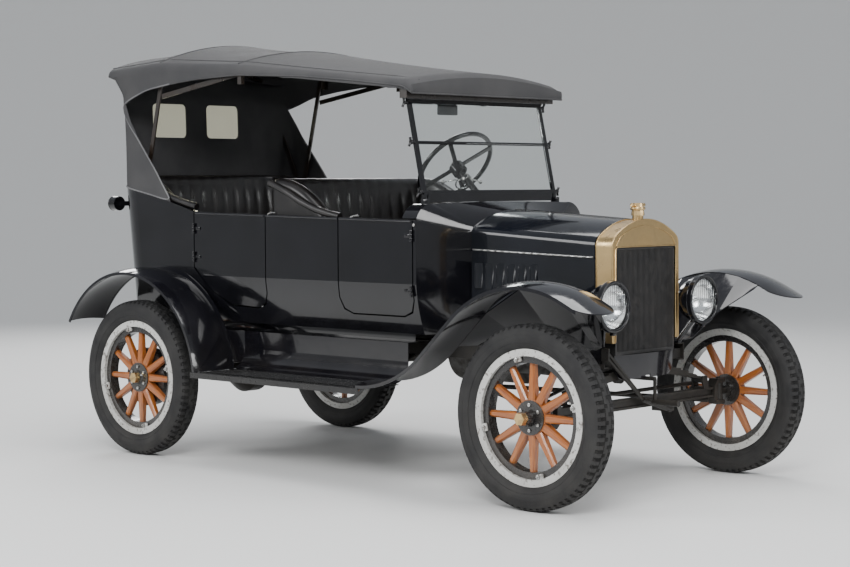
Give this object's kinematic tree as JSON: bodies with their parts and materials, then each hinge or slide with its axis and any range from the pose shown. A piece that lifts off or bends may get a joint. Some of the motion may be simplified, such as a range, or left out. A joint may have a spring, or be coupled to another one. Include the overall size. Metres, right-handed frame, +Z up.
{
  "type": "touring car",
  "caption": "Open early-1920s touring car with a raised canvas top, wood-spoke wheels, brass radiator, opening doors, folding hood panels and linked steering.",
  "frame": {"origin": "on the ground under the middle of the car's length and width", "axes": "+X forward, +Y to the driver's left, +Z up"},
  "size_m": [3.4309, 1.64, 2.0679],
  "materials": {
    "tyre_rubber": "matt worn black rubber",
    "black_paint": "gloss black enamel",
    "frame_black": "satin black paint with road dust",
    "spoke_wood": "varnished orange-brown hickory",
    "radiator_brass": "satin brass",
    "core_black": "matt black fins",
    "engine_grey": "dull cast iron",
    "seat_leather": "black buttoned leather",
    "canvas": "weathered black canvas",
    "glass": "clear glass",
    "bow_wood": "dark stained wood and black irons",
    "rubber_mat": "dark floor boards",
    "board_black": "ribbed black steel",
    "rim_paint": "grey-white rim band"
  },
  "bodies": {
    "car": {"frame_rails": "frame_black", "frame_crossmembers": "frame_black", "engine": "engine_grey", "front_axle": "frame_black", "steering_column": "frame_black", "springs": "frame_black", "radius_rods": "frame_black", "rear_axle": "frame_black", "radiator_shell": "radiator_brass", "radiator_core": "core_black", "radiator_apron": "black_paint", "hood_fittings": "black_paint", "cowl": "black_paint", "dash": "bow_wood", "body_tub": "black_paint", "floor": "rubber_mat", "seat_boxes": "black_paint", "seat_cushions": "seat_leather", "seat_backs": "seat_leather", "windscreen_frame": "black_paint", "windscreen_glass": "glass", "canopy": "canvas", "rear_windows": "glass", "top_bows": "bow_wood", "fenders": "black_paint", "aprons": "black_paint", "running_boards": "board_black", "lamps": "black_paint", "lamp_lenses": "glass", "starting_crank": "frame_black", "axle_brace": "frame_black"},
    "wheel_front_left": {"tyre_front_left": "tyre_rubber", "rim_front_left": "rim_paint", "spokes_front_left": "spoke_wood", "hub_front_left": "black_paint"},
    "wheel_front_right": {"tyre_front_right": "tyre_rubber", "rim_front_right": "rim_paint", "spokes_front_right": "spoke_wood", "hub_front_right": "black_paint"},
    "wheel_rear_left": {"tyre_rear_left": "tyre_rubber", "rim_rear_left": "rim_paint", "spokes_rear_left": "spoke_wood", "hub_rear_left": "black_paint"},
    "wheel_rear_right": {"tyre_rear_right": "tyre_rubber", "rim_rear_right": "rim_paint", "spokes_rear_right": "spoke_wood", "hub_rear_right": "black_paint"},
    "knuckle_left": {"knuckle_left": "frame_black"},
    "knuckle_right": {"knuckle_right": "frame_black"},
    "tie_rod": {"tie_rod": "frame_black"},
    "drop_arm": {"drop_arm": "frame_black"},
    "steering_wheel": {"steering_wheel": "black_paint"},
    "door_front_right": {"door_front_right": "black_paint"},
    "door_rear_right": {"door_rear_right": "black_paint"},
    "door_rear_left": {"door_rear_left": "black_paint"},
    "hood_top_left": {"hood_top_left": "black_paint"},
    "hood_top_right": {"hood_top_right": "black_paint"},
    "hood_side_left": {"hood_side_left": "black_paint"},
    "hood_side_right": {"hood_side_right": "black_paint"}
  },
  "joints": [
    {"name": "steer_left", "type": "hinge", "parent": "car", "child": "knuckle_left", "pos_m": [1.335, 0.62, 0.386], "axis": [0, 0, 1], "range_deg": [-30, 30]},
    {"name": "steer_right", "type": "hinge", "parent": "car", "child": "knuckle_right", "pos_m": [1.335, -0.62, 0.386], "axis": [0, 0, 1], "range_deg": [-30, 30]},
    {"name": "tie_rod_swing", "type": "hinge", "parent": "knuckle_left", "child": "tie_rod", "pos_m": [1.195, 0.62, 0.412], "axis": [0, 0, 1], "range_deg": [-30, 30]},
    {"name": "drop_arm_turn", "type": "hinge", "parent": "car", "child": "drop_arm", "pos_m": [0.995, 0.218, 0.566], "axis": [-0.7611, 0.0841, 0.6431], "range_deg": [-30, 30]},
    {"name": "steering_wheel_turn", "type": "hinge", "parent": "car", "child": "steering_wheel", "pos_m": [-0.018, 0.33, 1.422], "axis": [-0.7611, 0.0841, 0.6431], "range_deg": [-150, 150]},
    {"name": "wheel_front_left_spin", "type": "hinge", "parent": "knuckle_left", "child": "wheel_front_left", "pos_m": [1.335, 0.711, 0.386], "axis": [0, 1, 0], "continuous": true},
    {"name": "wheel_front_right_spin", "type": "hinge", "parent": "knuckle_right", "child": "wheel_front_right", "pos_m": [1.335, -0.711, 0.386], "axis": [0, 1, 0], "continuous": true},
    {"name": "wheel_rear_left_spin", "type": "hinge", "parent": "car", "child": "wheel_rear_left", "pos_m": [-1.205, 0.711, 0.386], "axis": [0, 1, 0], "continuous": true},
    {"name": "wheel_rear_right_spin", "type": "hinge", "parent": "car", "child": "wheel_rear_right", "pos_m": [-1.205, -0.711, 0.386], "axis": [0, 1, 0], "continuous": true},
    {"name": "door_front_right_hinge", "type": "hinge", "parent": "car", "child": "door_front_right", "pos_m": [0.535, -0.593, 0.97], "axis": [0, 0, 1], "range_deg": [0, 70]},
    {"name": "door_rear_right_hinge", "type": "hinge", "parent": "car", "child": "door_rear_right", "pos_m": [-0.94, -0.593, 0.97], "axis": [0, 0, -1], "range_deg": [0, 50]},
    {"name": "door_rear_left_hinge", "type": "hinge", "parent": "car", "child": "door_rear_left", "pos_m": [-0.94, 0.593, 0.97], "axis": [0, 0, 1], "range_deg": [0, 50]},
    {"name": "hood_top_left_hinge", "type": "hinge", "parent": "car", "child": "hood_top_left", "pos_m": [0.962, 0, 1.205], "axis": [0.9981, 0, -0.062], "range_deg": [0, 70]},
    {"name": "hood_top_right_hinge", "type": "hinge", "parent": "car", "child": "hood_top_right", "pos_m": [0.962, 0, 1.205], "axis": [-0.9981, 0, 0.062], "range_deg": [0, 70]},
    {"name": "hood_side_left_hinge", "type": "hinge", "parent": "hood_top_left", "child": "hood_side_left", "pos_m": [0.962, 0.2725, 1.038], "axis": [0.9943, -0.1004, -0.0371], "range_deg": [0, 140]},
    {"name": "hood_side_right_hinge", "type": "hinge", "parent": "hood_top_right", "child": "hood_side_right", "pos_m": [0.962, -0.2725, 1.038], "axis": [-0.9943, -0.1004, 0.0371], "range_deg": [0, 140]}
  ],
  "couplings": [
    {"joint": "steer_right", "follows": "steer_left", "ratio": 1},
    {"joint": "tie_rod_swing", "follows": "steer_left", "ratio": -1},
    {"joint": "drop_arm_turn", "follows": "steer_left", "ratio": 1},
    {"joint": "steering_wheel_turn", "follows": "steer_left", "ratio": 5},
    {"joint": "hood_side_left_hinge", "follows": "hood_top_left_hinge", "ratio": 2},
    {"joint": "hood_side_right_hinge", "follows": "hood_top_right_hinge", "ratio": 2}
  ]
}
